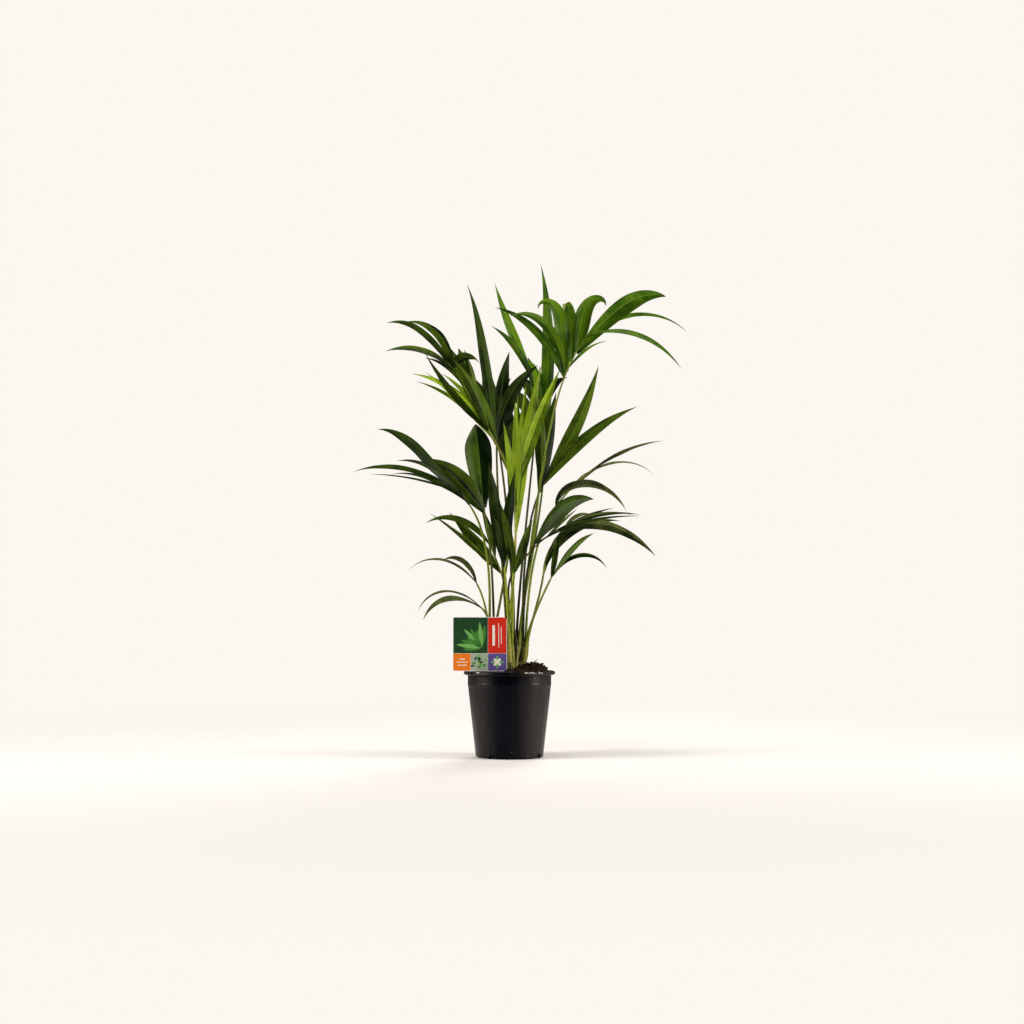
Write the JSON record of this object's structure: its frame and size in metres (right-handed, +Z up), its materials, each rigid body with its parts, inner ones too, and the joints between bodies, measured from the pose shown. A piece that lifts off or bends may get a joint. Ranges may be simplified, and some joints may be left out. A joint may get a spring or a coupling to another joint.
{
  "type": "potted kentia palm",
  "caption": "Young feather-leaved palm, several seedlings planted together in a round black nursery pot, with arching fronds and a plain plant label on a stake.",
  "frame": {"origin": "middle of the pot's flat underside", "axes": "+Z up along the pot's axis; +X to the plant's right seen from the label's side; -Y is that front side"},
  "size_m": [0.6763, 0.5237, 1.004],
  "materials": {
    "leaf": "satin",
    "young_leaf": "satin",
    "stalk": "satin",
    "stem": "matt",
    "pot": "satin",
    "soil": "matt",
    "label": "gloss"
  },
  "bodies": {
    "root": {"pot": "pot", "soil": "soil", "label": "label", "stem_right": "stem", "stem_back": "stem", "stem_left": "stem", "stem_middle": "stem", "stalk_right_broad": "stalk", "stalk_right_low_small": "stalk", "stalk_right_low_long": "stalk", "stalk_right_mid_arch": "stalk", "stalk_right_mid_pair": "stalk", "stalk_right_high": "stalk", "stalk_back_low_right": "stalk", "stalk_back_narrow": "stalk", "stalk_back_spear": "stalk", "stalk_back_right": "stalk", "stalk_back_left": "stalk", "stalk_back_high": "stalk", "stalk_left_low": "stalk", "stalk_left_yellow": "stalk", "stalk_left_dark_fan": "stalk", "stalk_left_small_upper": "stalk", "stalk_left_small_lower": "stalk", "stalk_middle_high": "stalk", "stalk_middle_broad": "stalk", "stalk_middle_left_low": "stalk", "stalk_middle_dark": "stalk", "stalk_middle_front": "stalk", "stalk_middle_young": "stalk", "frond_right_broad": "leaf", "frond_right_low_small": "leaf", "frond_right_low_long": "leaf", "frond_right_mid_arch": "leaf", "frond_right_mid_pair": "leaf", "frond_right_high": "leaf", "frond_back_low_right": "leaf", "frond_back_narrow": "leaf", "frond_back_spear": "leaf", "frond_back_right": "leaf", "frond_back_left": "leaf", "frond_back_high": "leaf", "frond_left_low": "leaf", "frond_left_yellow": "young_leaf", "frond_left_dark_fan": "leaf", "frond_left_small_upper": "leaf", "frond_left_small_lower": "leaf", "frond_middle_high": "leaf", "frond_middle_broad": "leaf", "frond_middle_left_low": "leaf", "frond_middle_dark": "leaf", "frond_middle_front": "leaf", "frond_middle_young": "young_leaf"}
  },
  "joints": []
}
